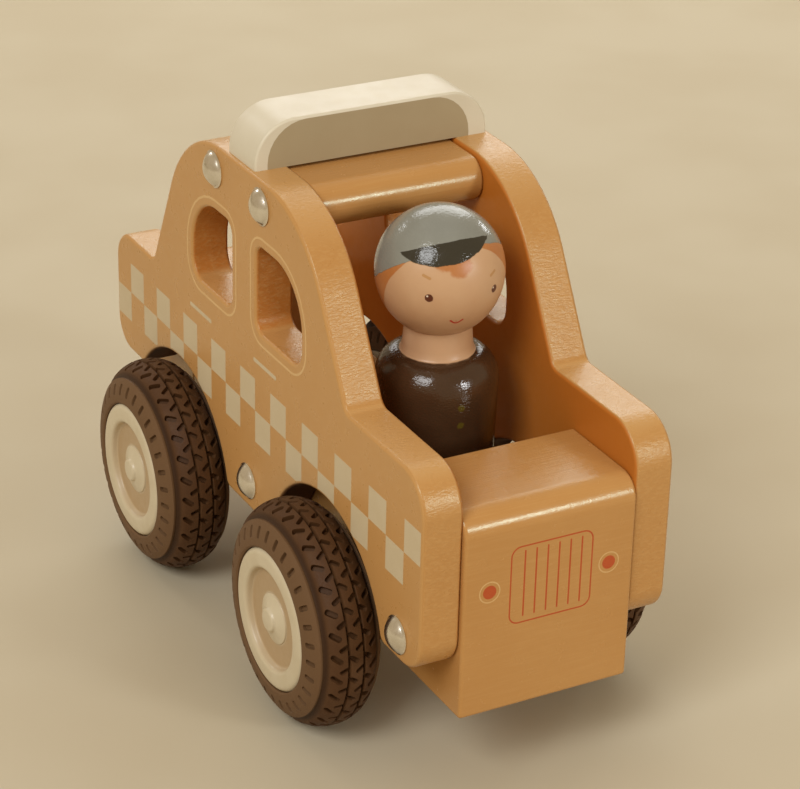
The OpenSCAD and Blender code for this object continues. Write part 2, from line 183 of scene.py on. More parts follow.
def coat(node, material):
    """Gives a frame node that keeps its shape a finish."""
    mesh = frame["nodes"][node].data
    mesh.materials.clear()
    mesh.materials.append(material)


def rounded(points):
    """Points of an outline whose corners are (x, y, radius)."""
    path = []
    count = len(points)
    for k, (x, y, radius) in enumerate(points):
        here = Vector((x, y))
        if radius == 0:
            path.append(here)
            continue
        back = (Vector(points[k - 1][:2]) - here).normalized()
        ahead = (Vector(points[(k + 1) % count][:2]) - here).normalized()
        half = back.angle(ahead) / 2
        centre = here + (back + ahead).normalized() * radius / math.sin(half)
        start = here + back * radius / math.tan(half) - centre
        turn = math.pi - 2 * half
        way = 1 if back.cross(ahead) < 0 else -1
        for step in range(ROUND_STEPS + 1):
            path.append(centre + Matrix.Rotation(way * turn * step / ROUND_STEPS, 2) @ start)
    return path


def turned(name, section, origin, axis, steps):
    """Turns a section of (radius, place along the axis) about an axis through the origin."""
    out = Z if axis == X else X
    points = [origin + out * p[0] + axis * p[1] for p in section]
    rest()
    bpy.ops.mesh.primitive_plane_add(size=MM)
    piece = bpy.context.object
    piece.name = name
    work_on(piece)
    bpy.ops.mesh.merge(type="CENTER")
    bpy.ops.transform.translate(value=points[0])
    for here, there in zip(points, points[1:]):
        bpy.ops.mesh.extrude_region_move(TRANSFORM_OT_translate={"value": there - here})
    bpy.ops.mesh.select_all(action="SELECT")
    bpy.ops.mesh.spin(steps=steps, angle=FULL_TURN, center=origin, axis=axis)
    closed(piece)
    return piece


# Finishes

def srgb(red, green, blue):
    """A colour as a screen shows it, made linear."""
    def linear(value):
        share = value / 255
        return share / 12.92 if share <= 0.04045 else ((share + 0.055) / 1.055) ** 2.4
    return (linear(red), linear(green), linear(blue), 1)


class Finish:
    """The node tree of one material, with a short call for each kind of node."""

    def __init__(self, name, **sockets):
        self.material = bpy.data.materials.new(name)
        self.material.use_nodes = True
        self.tree = self.material.node_tree
        self.shader = self.tree.nodes["Principled BSDF"]
        coordinates = self.add("ShaderNodeTexCoord")
        self.place = coordinates.outputs["Object"]
        self.normal = coordinates.outputs["Normal"]
        for socket, value in sockets.items():
            self.put(value, self.shader.inputs[socket.replace("_", " ")])

    def add(self, kind, **settings):
        node = self.tree.nodes.new(kind)
        for key, value in settings.items():
            setattr(node, key, value)
        return node

    def put(self, value, socket):
        """Links a node's output to a socket, or sets a plain value on it."""
        if isinstance(value, bpy.types.NodeSocket):
            self.tree.links.new(value, socket)
        else:
            socket.default_value = value

    def axes(self, vector):
        """The parts of a vector, under the names X, Y and Z."""
        node = self.add("ShaderNodeSeparateXYZ")
        self.put(vector, node.inputs[0])
        return node.outputs

    def math(self, operation, *values):
        node = self.add("ShaderNodeMath", operation=operation)
        for value, socket in zip(values, node.inputs):
            self.put(value, socket)
        return node.outputs[0]

    def both(self, one, other):
        """The part of one mask that is in another, or a mask made weaker."""
        return self.math("MULTIPLY", one, other)

    def either(self, *masks):
        total = masks[0]
        for mask in masks[1:]:
            total = self.math("MAXIMUM", total, mask)
        return total

    def opposite(self, mask):
        return self.math("SUBTRACT", 1.0, mask)

    def vector(self, operation, *values, out=0):
        node = self.add("ShaderNodeVectorMath", operation=operation)
        for value, socket in zip(values, node.inputs):
            self.put(value, socket)
        return node.outputs[out]

    def noise(self, grain, detail=3.0, stretch=(1, 1, 1), rough=0.5):
        """Noise whose grain has this size in mm, stretched along the axes by these factors."""
        mapping = self.add("ShaderNodeMapping")
        self.put(self.place, mapping.inputs["Vector"])
        mapping.inputs["Scale"].default_value = [1 / (grain * MM * s) for s in stretch]
        node = self.add("ShaderNodeTexNoise")
        self.put(mapping.outputs[0], node.inputs["Vector"])
        node.inputs["Scale"].default_value = 1
        node.inputs["Detail"].default_value = detail
        node.inputs["Roughness"].default_value = rough
        return node.outputs["Fac"]

    def ramp(self, value, low, high, to_low=0.0, to_high=1.0):
        """Turns a range of values softly into another, from 0 to 1 unless told."""
        node = self.add("ShaderNodeMapRange", interpolation_type="SMOOTHSTEP")
        for number, socket in zip((value, low, high, to_low, to_high), node.inputs):
            self.put(number, socket)
        return node.outputs[0]

    def near(self, value, place, full, none):
        """A mask that is 1 within one distance of a place and 0 past another, all in mm."""
        gap = self.math("ABSOLUTE", self.math("SUBTRACT", value, place * MM))
        return self.ramp(gap, full * MM, none * MM, 1, 0)

    def blend(self, factor, below, above):
        node = self.add("ShaderNodeMix", data_type="RGBA")
        self.put(factor, node.inputs["Factor"])
        self.put(below, node.inputs["A"])
        self.put(above, node.inputs["B"])
        return [o for o in node.outputs if o.type == "RGBA"][0]

    def colour(self, value):
        self.put(value, self.shader.inputs["Base Color"])

    def roughness(self, value):
        self.put(value, self.shader.inputs["Roughness"])

    def bump(self, height, depth, strength):
        """Raises the surface by up to this depth in mm, on top of what was raised before."""
        node = self.add("ShaderNodeBump")
        node.inputs["Strength"].default_value = strength
        node.inputs["Distance"].default_value = depth * MM
        self.put(height, node.inputs["Height"])
        old = self.shader.inputs["Normal"]
        if old.is_linked:
            self.put(old.links[0].from_socket, node.inputs["Normal"])
        self.put(node.outputs[0], old)


# Colours of the finishes, most of them in two tones that the material mixes

OCHRE_DEEP, OCHRE = srgb(184, 133, 75), srgb(188, 138, 80)
# Paler ochre: wood grain on the blocks, and painted light on the panels' upward edges and outer faces
OCHRE_PALE_GRAIN_AND_LIGHT = srgb(198, 153, 96)
# Painted shade: a deeper ochre for the inner faces and the window edges
OCHRE_INSIDE_SHADE = srgb(186, 110, 38)
# Painted shade: a dark brown for the arches round the tyres
OCHRE_ARCH_SHADE = srgb(98, 54, 18)
SHEEN = (0.78, 1.0, 0.82, 1)
SIGN_WHITES = srgb(208, 199, 177), srgb(213, 205, 184)
# Painted shade: darker browns for the tread than for the sidewalls
TREAD_SHADE_BROWNS = srgb(76, 48, 24), srgb(83, 55, 30)
WALL_BROWN, WALL_BLOOM = srgb(106, 79, 53), srgb(118, 90, 63)
# Painted shade: a dark brown for the tyre's shoulder valleys
VALLEY_SHADE_BROWN = srgb(54, 33, 16)
CREAMS = srgb(200, 187, 158), srgb(206, 194, 167)
# Painted shade: a darker cream for the hub's dish
DISH_SHADE_CREAM = srgb(178, 152, 116)
NICKELS = srgb(222, 216, 204), srgb(236, 231, 221)
STEELS = srgb(168, 168, 166), srgb(196, 195, 190)
WOODS = srgb(196, 158, 108), srgb(224, 194, 148)
SKINS = srgb(192, 152, 115), srgb(197, 159, 122)
HAIRS = srgb(174, 110, 58), srgb(180, 118, 66)
CAP_GREYS = srgb(129, 130, 122), srgb(136, 137, 129)
COAT_BROWNS = srgb(62, 41, 25), srgb(69, 47, 30)
VISOR_BLACK = srgb(52, 48, 38)
BROW_BROWN = srgb(180, 135, 84)
EYE_BROWN = srgb(84, 34, 12)
GLINT_WHITE = srgb(222, 206, 186)
MOUTH_RED = srgb(176, 40, 26)
BUTTON_GREEN = srgb(86, 72, 24)
PALE_INKS = srgb(201, 185, 154), srgb(196, 178, 143)
FINE_INKS = srgb(214, 179, 126), srgb(206, 167, 110)
RING_INKS = srgb(206, 168, 112), srgb(198, 154, 96)
RUST_INKS = srgb(178, 74, 28), srgb(184, 88, 40)
TAN_INKS = srgb(165, 149, 118), srgb(160, 143, 111)
FLOOR_TONES = srgb(190, 179, 155), srgb(194, 184, 161)
ROOM_WARMTH = (1.0, 0.78, 0.5, 1)
LAMP_WHITE = (1.0, 1.02, 1.03)


def axle_gap(finish):
    """Distance to the nearer axle, seen from the side."""
    flat = finish.vector("MULTIPLY", finish.place, Y + Z)
    gaps = [finish.vector("DISTANCE", flat, axle * (Y + Z), out=1) for axle in AXLES.values()]
    return finish.math("MINIMUM", *gaps)


GRAIN_STRETCH = 22.0


def ochre_paint(name, grain_axis):
    """Satin paint over wood, with the grain showing through along one axis."""
    paint = Finish(name, Specular_IOR_Level=0.5, Specular_Tint=SHEEN)
    along = [GRAIN_STRETCH if axis == grain_axis else 1.0 for axis in "xyz"]
    grain = paint.noise(0.4, detail=4, stretch=along, rough=0.6)
    cloud = paint.noise(22, detail=2)
    peel = paint.noise(0.45, detail=1)
    top = paint.ramp(paint.axes(paint.normal)["Z"], 0.85, 0.99)
    tint = paint.blend(paint.ramp(cloud, 0.25, 0.75), OCHRE_DEEP, OCHRE)
    paint.colour(paint.blend(paint.ramp(grain, 0.4, 0.8, 0, 0.3), tint, OCHRE_PALE_GRAIN_AND_LIGHT))
    paint.roughness(paint.ramp(paint.noise(3, detail=4), 0.25, 0.75, 0.2, 0.28))
    paint.bump(peel, 0.04, 0.5)
    paint.bump(paint.both(grain, top), 0.06, 0.9)
    paint.bump(grain, 0.02, 0.4)
    return paint.material


OPENING_FADE = (0.2, 0.9)
ARCH_SHADE_FADE = (0.1, 0.6)


def panel_paint():
    """The same paint on a board: sawn edges, painted shade inside, in the windows and in the arches, and
    painted light on upward edges and outer faces.
    """
    paint = Finish("panel_paint", Specular_IOR_Level=0.5, Specular_Tint=SHEEN)
    normal = paint.axes(paint.normal)
    place = paint.axes(paint.place)
    edge = paint.ramp(paint.math("ABSOLUTE", normal["X"]), 0.3, 0.7, 1, 0)
    outwards = paint.math("MULTIPLY", paint.math("SIGN", place["X"]), normal["X"])
    inside = paint.ramp(outwards, -0.8, -0.4, 1, 0)
    # Painted sheen: the outer faces are mixed halfway towards the paler ochre
    outer_sheen = paint.ramp(outwards, 0.4, 0.8, 0, 0.5)
    # Painted light: upward-facing edges made paler
    top = paint.ramp(normal["Z"], 0.7, 0.95, 0, 0.7)
    # Painted shade on the inner faces and on the window edges
    inner_shade = inside
    for along, up, width, height in WINDOWS.values():
        beside = paint.near(place["Y"], along, *[width / 2 + fade for fade in OPENING_FADE])
        level = paint.near(place["Z"], up, *[height / 2 + fade for fade in OPENING_FADE])
        inner_shade = paint.either(inner_shade, paint.both(paint.both(beside, level), paint.both(edge, 0.7)))
    # Painted shade on the arch faces round the tyres
    arch = paint.ramp(axle_gap(paint), *[(ARCH_R + fade) * MM for fade in ARCH_SHADE_FADE], 1, 0)
    sawn = paint.noise(0.5, detail=3, stretch=(2.5, 1, 1), rough=0.6)
    # Pale streaks on the edges: sawn grain, plus painted light where they face up
    grain_and_top_light = paint.either(top, paint.ramp(sawn, 0.4, 0.75, 0, 0.5))
    pale = paint.either(paint.both(edge, grain_and_top_light), outer_sheen)
    cloud = paint.noise(24, detail=2)
    tint = paint.blend(paint.ramp(cloud, 0.25, 0.75), OCHRE_DEEP, OCHRE)
    tint = paint.blend(pale, paint.blend(inner_shade, tint, OCHRE_INSIDE_SHADE), OCHRE_PALE_GRAIN_AND_LIGHT)
    paint.colour(paint.blend(arch, tint, OCHRE_ARCH_SHADE))
    rough = paint.ramp(paint.noise(3, detail=4), 0.25, 0.75, 0.26, 0.35)
    coarse = paint.either(paint.both(inside, 0.12), paint.both(arch, 0.5))
    paint.roughness(paint.math("ADD", rough, coarse))
    paint.bump(paint.noise(1.6, detail=1), 0.04, 0.5)
    paint.bump(paint.both(sawn, edge), 0.16, 0.7)
    return paint.material


def sign_paint():
    paint = Finish("sign_paint", Specular_IOR_Level=0.45)
    brush = paint.noise(0.6, detail=4, stretch=(16, 1, 1), rough=0.6)
    cloud = paint.noise(14, detail=2)
    paint.colour(paint.blend(paint.ramp(cloud, 0.3, 0.7), *SIGN_WHITES))
    paint.roughness(paint.ramp(paint.noise(2.5), 0.3, 0.7, 0.38, 0.48))
    paint.bump(brush, 0.04, 0.4)
    paint.bump(paint.noise(0.9, detail=2), 0.03, 0.4)
    return paint.material


def ink(name, tone, worn):
    """Printed ink, a little worn and uneven."""
    paint = Finish(name, Specular_IOR_Level=0.4)
    speckle = paint.noise(0.45, detail=4, rough=0.7)
    cloud = paint.noise(6, detail=3)
    body = paint.blend(paint.ramp(cloud, 0.3, 0.7, 0, 0.35), tone, worn)
    paint.colour(paint.blend(paint.ramp(speckle, 0.62, 0.75, 0, 0.5), body, worn))
    paint.roughness(paint.ramp(speckle, 0.3, 0.7, 0.42, 0.55))
    paint.bump(paint.noise(0.9, detail=2), 0.03, 0.5)
    return paint.material


def brown_rubber():
    """Rubber with a pale bloom on the sidewalls, and painted shade darkening the tread and its valleys."""
    rubber = Finish("brown_rubber", Specular_IOR_Level=0.25)
    fine = rubber.noise(0.35, detail=4, rough=0.65)
    cloud = rubber.noise(5, detail=3)
    side = rubber.math("ABSOLUTE", rubber.axes(rubber.place)["X"])
    out = rubber.math("ABSOLUTE", rubber.math("SUBTRACT", side, WHEEL_X))
    wall = rubber.ramp(out, (SHOULDER - 0.3) * MM, (SHOULDER + 0.5) * MM)
    # Painted shade along the shoulder valleys
    valley = rubber.both(rubber.near(out, SHOULDER - 0.1, 0.1, 0.7), 0.85)
    bloom = rubber.ramp(rubber.noise(1.4, detail=5, rough=0.7), 0.5, 0.8, 0, 0.4)
    # Painted shade: the tread is a darker brown than the sidewalls
    tread = rubber.blend(rubber.ramp(cloud, 0.3, 0.7), *TREAD_SHADE_BROWNS)
    tint = rubber.blend(wall, tread, WALL_BROWN)
    tint = rubber.blend(rubber.both(bloom, wall), tint, WALL_BLOOM)
    rubber.colour(rubber.blend(valley, tint, VALLEY_SHADE_BROWN))
    rubber.roughness(rubber.ramp(fine, 0.3, 0.7, 0.55, 0.72))
    rubber.bump(fine, 0.04, 0.45)
    return rubber.material


def cream_plastic():
    """Moulded plastic, with painted shade darkening the dish between the lip and the cap."""
    plastic = Finish("cream_plastic", Specular_IOR_Level=0.5)
    cloud = plastic.noise(7, detail=3)
    fine = plastic.noise(0.5, detail=3)
    gap = axle_gap(plastic)
    lip_in = RIM_R - LIP
    past_cap = plastic.ramp(gap, (CAP_R - 0.4) * MM, (CAP_R + 0.6) * MM)
    before_lip = plastic.ramp(gap, (lip_in - 1.2) * MM, (lip_in + 0.6) * MM, 1, 0)
    tint = plastic.blend(plastic.ramp(cloud, 0.3, 0.7), *CREAMS)
    # Painted shade in the dish between the cap and the lip
    plastic.colour(plastic.blend(plastic.both(past_cap, before_lip), tint, DISH_SHADE_CREAM))
    plastic.roughness(plastic.ramp(plastic.noise(1.8, detail=4), 0.3, 0.7, 0.3, 0.44))
    plastic.bump(fine, 0.012, 0.4)
    return plastic.material


def polished_nickel():
    nickel = Finish("polished_nickel", Metallic=1.0)
    smear = nickel.noise(2.2, detail=4, rough=0.65)
    scratch = nickel.noise(0.25, detail=2, stretch=(1, 9, 1))
    nickel.colour(nickel.blend(nickel.ramp(smear, 0.3, 0.7), *NICKELS))
    nickel.roughness(nickel.ramp(smear, 0.3, 0.75, 0.21, 0.26))
    nickel.bump(scratch, 0.003, 0.2)
    return nickel.material


def drawn_steel(name, dull):
    steel = Finish(name, Metallic=1.0)
    streak = steel.noise(0.2, detail=3, stretch=(20, 1, 1))
    steel.colour(steel.blend(streak, *STEELS))
    steel.roughness(steel.ramp(streak, 0.3, 0.7, dull, dull + 0.15))
    steel.bump(streak, 0.01, 0.4)
    return steel.material


def raw_wood():
    wood = Finish("raw_wood")
    grain = wood.noise(0.8, detail=5, stretch=(1, 1, 12), rough=0.6)
    wood.colour(wood.blend(wood.ramp(grain, 0.3, 0.7), *WOODS))
    wood.roughness(wood.ramp(grain, 0.3, 0.7, 0.6, 0.75))
    wood.bump(grain, 0.05, 0.5)
    return wood.material


# Painted and softened wood

PANEL_EDGE = 0.9
BLOCK_EDGE = 0.8
BOARD_EDGE = 0.6
SIGN_EDGE = 0.6
NODE_WELD = 0.002
FLAT_ANGLE = 0.5
SHARP_ANGLE = 40


def softened(node, name, radius, where=None, steps=3):
    """A copy of a frame node with its sharp edges rounded, all of them or those picked by place."""
    piece = copied(frame["nodes"][node], name, Matrix.Identity(4))
    take(piece)
    bpy.ops.mesh.customdata_custom_splitnormals_clear()
    work_on(piece)
    bpy.ops.mesh.remove_doubles(threshold=NODE_WELD * MM)
    bpy.ops.mesh.dissolve_limited(angle_limit=math.radians(FLAT_ANGLE))

    def sharp(edge):
        if not edge.is_manifold or edge.calc_face_angle() < math.radians(SHARP_ANGLE):
            return False
        return where is None or where((edge.verts[0].co + edge.verts[1].co) / 2)

    pick(piece, "EDGE", sharp)
    bpy.ops.mesh.bevel(offset=radius * MM, segments=steps, affect="EDGES", loop_slide=False)
    rest()
    smoothed(piece, 32)
    shaped(piece, "WEIGHTED_NORMAL", keep_sharp=True, weight=80)
    return piece


def woodwork():
    across = ochre_paint("block_paint", "x")
    lengthwise = ochre_paint("board_paint", "y")
    panels = panel_paint()
    boards = [(side + "_side_panel", PANEL_EDGE, panels) for side in SIDES]
    boards += [(node, BLOCK_EDGE, across) for node in ("bonnet_block", "boot_block", "roof_plank")]
    boards += [(node, BOARD_EDGE, lengthwise) for node in ("chassis_board", "cabin_floor")]
    for node, radius, paint in boards:
        fitted(softened(node, node + "_painted", radius), BODY, "body_paint", paint, node)
    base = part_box("roof_sign")[0].z + 0.1 * MM
    sign = softened("roof_sign", "roof_sign_painted", SIGN_EDGE, lambda place: place.z > base, steps=5)
    fitted(sign, BODY, "sign_paint", sign_paint(), "roof_sign")


# Wheels in mm, modelled at the front right place and copied to the others

RIM_R = 16.7
RIM_HALF = 9.12
SEAT_R = 15.0
FLANGE = 2.2
LIP = 4.7
DISH_DEPTH = 1.75
WEB = 2.5
BOSS_R = 5.0
BOSS_IN = -12.8
AXLE_R = 2.02
CAP_R = 6.0
CAP_H = 2.1
KNOB_R = 2.6
PLUG_R = 3.5
PLUG_H = 1.2
GLUE_GAP = 0.02
DISH = RIM_HALF - DISH_DEPTH
SQUARENESS = 2.07
BEAD_IN = 0.3
GROOVE = 1.8
GROOVE_HALF = 0.3
GROOVE_DEPTH = 1.2
SHOULDER = 6.3
SHOULDER_HALF = 0.9
SHOULDER_DEPTH = 1
PITCHES = 30
PITCH = 360 / PITCHES
PHASE = 4.8
TYRE_STEPS = 6 * PITCHES
FINE_STEPS = 128
SMALL_STEPS = 64

# Sections of the groove and of the shoulder valley: shares of the half width and of the depth

GROOVE_SHAPE = ((-1.35, 0), (-1, 0.12), (-0.7, 1), (0.7, 1), (1, 0.12), (1.35, 0))
VALLEY_SHAPE = ((-1, 0), (-0.55, 0.5), (-0.2, 1), (0.2, 1), (0.55, 0.5), (1, 0))
CUT_MARGIN = 1.4

# Slots of half a pitch: place along the axle and angle of both ends, then the width

TREAD_SLOTS = ((5.6, 0, 3.2, 4.3, 1.6), (3.9, -1.8, 1.75, -4.9, 1.35), (1.75, 0.9, -0.3, 4.3, 1.35))
TREAD_SLOT_DEPTH = 1.2
WALL_SLOT_IN, WALL_SLOT_OUT = 18.7, 21.6
WALL_SLOT_ANGLE = -4.2
WALL_SLOT_W = 1.45
WALL_SLOT_DEPTH = 0.8
SLOT_TAPER = (0.86, 0.72, 1)
SLOT_ROUND = 0.3
SLOPE_STEP = 0.05


def tread_r(place):
    """Radius of the tyre, in mm, at a place along the axle from its middle."""
    share = min(abs(place) / (TYRE_HALF / MM), 1)
    return RIM_R + (TYRE_R / MM - RIM_R) * (1 - share ** SQUARENESS) ** (1 / SQUARENESS)


def tyre_section():
    """Tyre section: over the tread with its grooves and shoulder valleys, then the bead seat."""
    half = TYRE_HALF / MM
    seat = RIM_HALF - FLANGE - GLUE_GAP
    bead = half - BEAD_IN
    cuts = []
    for way in (-1, 1):
        cuts.append((way * GROOVE, GROOVE_HALF, GROOVE_DEPTH, GROOVE_SHAPE))
        cuts.append((way * SHOULDER, SHOULDER_HALF, SHOULDER_DEPTH, VALLEY_SHAPE))
    path = []
    for angle in range(-88, 89, 2):
        sine = math.sin(math.radians(angle))
        place = math.copysign(half * abs(sine) ** (2 / SQUARENESS), sine)
        if all(abs(place - cut[0]) > CUT_MARGIN * cut[1] for cut in cuts):
            path.append((place, tread_r(place)))
    for at, width, depth, shape in cuts:
        path += [(at + p * width, tread_r(at + p * width) - d * depth) for p, d in shape]
    path.sort()
    section = [(r, a) for a, r in path]
    section += [(RIM_R, bead), (RIM_R, seat), (SEAT_R, seat)]
    section += [(SEAT_R, -seat), (RIM_R, -seat), (RIM_R, -bead)]
    return section + section[:1]


def tread_slot(start, end, width):
    """Cutter for one slot of the tread, between two places along the axle and round the tyre."""
    ends = []
    for place, angle in (start, end):
        turn = math.radians(angle)
        radius = tread_r(place)
        ends.append(Vector((-place, radius * math.cos(turn), radius * math.sin(turn))) * MM)
    centre = (ends[0] + ends[1]) / 2
    along = ends[1] - ends[0]
    halfway = (start[0] + end[0]) / 2
    slope = tread_r(halfway - SLOPE_STEP) - tread_r(halfway + SLOPE_STEP)
    radial = Vector((0, centre.y, centre.z)).normalized()
    up = (radial - X * slope / (2 * SLOPE_STEP)).normalized()
    return slot_cutter(centre, along, up, width, TREAD_SLOT_DEPTH)


def wall_place(radius):
    """Place of the sidewall along the axle, in mm, at a radius."""
    share = (radius - RIM_R) / (TYRE_R / MM - RIM_R)
    return TYRE_HALF / MM * (1 - share ** SQUARENESS) ** (1 / SQUARENESS)


def wall_slot(angle, way):
    """Cutter for one radial slot of a sidewall, on the outer (way 1) or the inner side."""
    turn = math.radians(angle)
    radial = Vector((0, math.cos(turn), math.sin(turn)))
    ends = [(radial * r - X * way * wall_place(r)) * MM for r in (WALL_SLOT_IN, WALL_SLOT_OUT)]
    along = ends[1] - ends[0]
    up = (-X * way - along.normalized() * (-X * way).dot(along.normalized())).normalized()
    return slot_cutter((ends[0] + ends[1]) / 2, along, up, WALL_SLOT_W, WALL_SLOT_DEPTH)


def slot_cutter(centre, along, up, width, depth):
    """A tapered bar with round ends, sunk by the depth into the surface that it is set on."""
    rest()
    bpy.ops.mesh.primitive_cube_add(size=1)
    cutter = bpy.context.object
    work_on(cutter)
    bpy.ops.transform.resize(value=(along.length, width * MM, 2 * depth * MM))
    pick(cutter, "FACE", lambda face: face.normal.z < -0.9)
    bpy.ops.transform.resize(value=SLOT_TAPER)
    pick(cutter, "EDGE", lambda edge: abs(edge.verts[0].co.z - edge.verts[1].co.z) > depth * MM)
    bpy.ops.mesh.bevel(offset=SLOT_ROUND * width * MM, segments=2, affect="EDGES")
    rest()
    side = up.cross(along).normalized()
    turn = Matrix((along.normalized(), side, up)).transposed().to_4x4()
    cutter.data.transform(Matrix.Translation(centre) @ turn)
    return cutter


def cut_tread(tyre, centre):
    """Cuts the slots of one pitch, repeated round the tyre."""
    cutters = []
    for way, at in ((1, PHASE), (-1, PHASE + PITCH / 2)):
        for from_place, from_angle, to_place, to_angle, width in TREAD_SLOTS:
            start = (way * from_place, at + from_angle)
            end = (way * to_place, at + to_angle)
            cutters.append(tread_slot(start, end, width))
        cutters.append(wall_slot(at + WALL_SLOT_ANGLE, way))
    cutter = joined("tread_cutter", cutters)
    cutter.data.transform(Matrix.Translation(centre))
    work_on(cutter)
    bpy.ops.mesh.spin(steps=PITCHES - 1, dupli=True, angle=FULL_TURN * (PITCHES - 1) / PITCHES,
                      center=centre, axis=X)
    bpy.ops.mesh.select_all(action="SELECT")
    bpy.ops.mesh.normals_make_consistent(inside=False)
    rest()
    shaped(tyre, "BOOLEAN", operation="DIFFERENCE", solver="EXACT", object=cutter)
    bpy.data.objects.remove(cutter)


def make_tyre(centre):
    section = [(r * MM, -a * MM) for r, a in tyre_section()]
    tyre = turned("tyre", section, centre, X, TYRE_STEPS)
    cut_tread(tyre, centre)
    smoothed(tyre, 32)
    return tyre


def make_hub(centre):
    """Hub: boss, web and rim, with a lip round a shallow dish. Each corner has its rounding."""
    drum = SEAT_R - WEB
    web = DISH - WEB
    lip_in = RIM_R - LIP
    corners = [
        (AXLE_R, BOSS_IN, 0), (BOSS_R, BOSS_IN, 0.4), (BOSS_R, web, 0.5), (drum, web, 0.8),
        (drum, -RIM_HALF, 0.4), (RIM_R, -RIM_HALF, 0.9), (RIM_R, FLANGE - RIM_HALF, 0),
        (SEAT_R, FLANGE - RIM_HALF, 0), (SEAT_R, RIM_HALF - FLANGE, 0), (RIM_R, RIM_HALF - FLANGE, 0),
        (RIM_R, RIM_HALF, 1.5), (lip_in, RIM_HALF, 1.1), (lip_in - 0.5, DISH, 0.6),
        (PLUG_R, DISH, 0), (PLUG_R, DISH - PLUG_H, 0), (AXLE_R, DISH - PLUG_H, 0),
    ]
    section = [(p.x * MM, -p.y * MM) for p in rounded(corners)]
    hub = turned("hub", section + section[:1], centre, X, FINE_STEPS)
    smoothed(hub, 35)
    return hub


def make_cap(centre):
    """Hub cap: a low cone with a small crowned knob in its middle."""
    plug = PLUG_R - GLUE_GAP
    seat = DISH + GLUE_GAP
    corners = [
        (0, DISH - PLUG_H, 0), (plug, DISH - PLUG_H, 0), (plug, seat, 0), (CAP_R, seat, 0),
        (CAP_R - 0.1, DISH + 0.3, 0.2), (KNOB_R + 0.35, DISH + CAP_H - 0.85, 0.5),
        (KNOB_R, DISH + CAP_H - 0.1, 0.6), (0, DISH + CAP_H, 0),
    ]
    section = [(p.x * MM, -p.y * MM) for p in rounded(corners)]
    cap = turned("cap", section, centre, X, SMALL_STEPS)
    smoothed(cap, 50)
    return cap


def wheels():
    rubber = brown_rubber()
    plastic = cream_plastic()
    steel = drawn_steel("axle_steel", 0.25)
    centre = Vector((-WHEEL_X, FRONT_AXLE.y, FRONT_AXLE.z))
    made = (("tyre", make_tyre(centre), "tyre_rubber", rubber),
            ("hub", make_hub(centre), "hub_plastic", plastic),
            ("cap", make_cap(centre), "hub_plastic", plastic))
    about = Matrix.Translation(Y * FRONT_AXLE.y)
    for end, axle in (("front", FRONT_AXLE), ("rear", REAR_AXLE)):
        to_end = Matrix.Translation(axle - FRONT_AXLE)
        for side in SIDES:
            turn = Matrix.Rotation(math.pi if side == "left" else 0, 4, "Z")
            place = to_end @ about @ turn @ about.inverted()
            for kind, model, slot, material in made:
                node = "%s_%s_%s" % (end, side, kind)
                fitted(copied(model, node + "_moulded", place), end + "_wheelset", slot, material, node)
        coat(end + "_axle", steel)
        coat(end + "_washers", plastic)
    for kind, model, slot, material in made:
        bpy.data.objects.remove(model)


# Nails, screws and dowels

NAIL_R = 4.4
NAIL_H = 2.5
NAIL_RIM = 0.28
NAIL_UNDERCUT = 0.12
NAIL_SHANK_R = 1.3
NAIL_L = 24.0
NAIL_POINT = 3
DOME_STEPS = 12


def nail_places(side):
    """Where the dome nails of one side stand, read from the frame's nail heads."""
    mesh = frame["nodes"][side + "_dome_nails"].data
    tips = [v.co for v in mesh.vertices if abs(v.co.x) > OUTER_X + (NAIL_H - 0.02) * MM]
    places = []
    for tip in tips:
        if all((tip - other).length > NAIL_R * MM for other in places):
            places.append(tip.copy())
    return places


def nail_section():
    """A spherical dome from its top to its rim, then the underside and the pointed shank."""
    crown = (NAIL_R ** 2 + NAIL_H ** 2) / (2 * NAIL_H)
    sweep = math.asin(NAIL_R / crown)
    path = []
    for step in range(DOME_STEPS):
        turn = sweep * step / DOME_STEPS
        path.append((crown * math.sin(turn), NAIL_H - crown + crown * math.cos(turn)))
    path += [(NAIL_R, NAIL_RIM), (NAIL_R - NAIL_UNDERCUT, 0), (NAIL_SHANK_R, 0)]
    path += [(NAIL_SHANK_R, NAIL_POINT - NAIL_L), (0, -NAIL_L)]
    return [(r * MM, a * MM) for r, a in path]


def nails():
    nickel = polished_nickel()
    for side, way in SIDES.items():
        heads = []
        section = [(r, way * a) for r, a in nail_section()]
        for place in nail_places(side):
            nail = turned("nail", section, Vector((way * OUTER_X, place.y, place.z)), X, SMALL_STEPS)
            smoothed(nail, 40)
            heads.append(nail)
        node = side + "_dome_nails"
        fitted(joined(node + "_polished", heads), BODY, "nail_nickel", nickel, node)
    coat("chassis_screws", drawn_steel("screw_steel", 0.35))
    wood = raw_wood()
    for node in ("sign_dowels", "boot_dowels"):
        coat(node, wood)


# Driver figure, with sizes in mm and heights above the cabin floor

FOOT_R = 13
FOOT_ROUND = 1
WAIST_R = 14
SHOULDER_FOOT = 29.2
SHOULDER_OUT = 5.4
SHOULDER_UP = 6.8
COLLAR_R = 8.6
COLLAR = SHOULDER_FOOT + SHOULDER_UP
NECK_R = 7.5
NECK_TOP = 42.6
HEAD_R = 14.45
CHIN = 1.05
CHIN_ANGLE = -57

# Painted forms of the head: azimuth from the front to the left, elevation, and the cone's angle

CAP = (180, 55.6, 84.3)
VISOR_EDGE = (180, 61.3, 71.6)
VISOR_BRIM = (-35.6, 69.9, 45.5)
FACE = (-13.2, -27, 69.6)
FRINGE = ((-10, 25, 10.5), (-24, 30, 10))

# Painted marks of the face, as azimuth and elevation about the line of sight, and their radius in mm

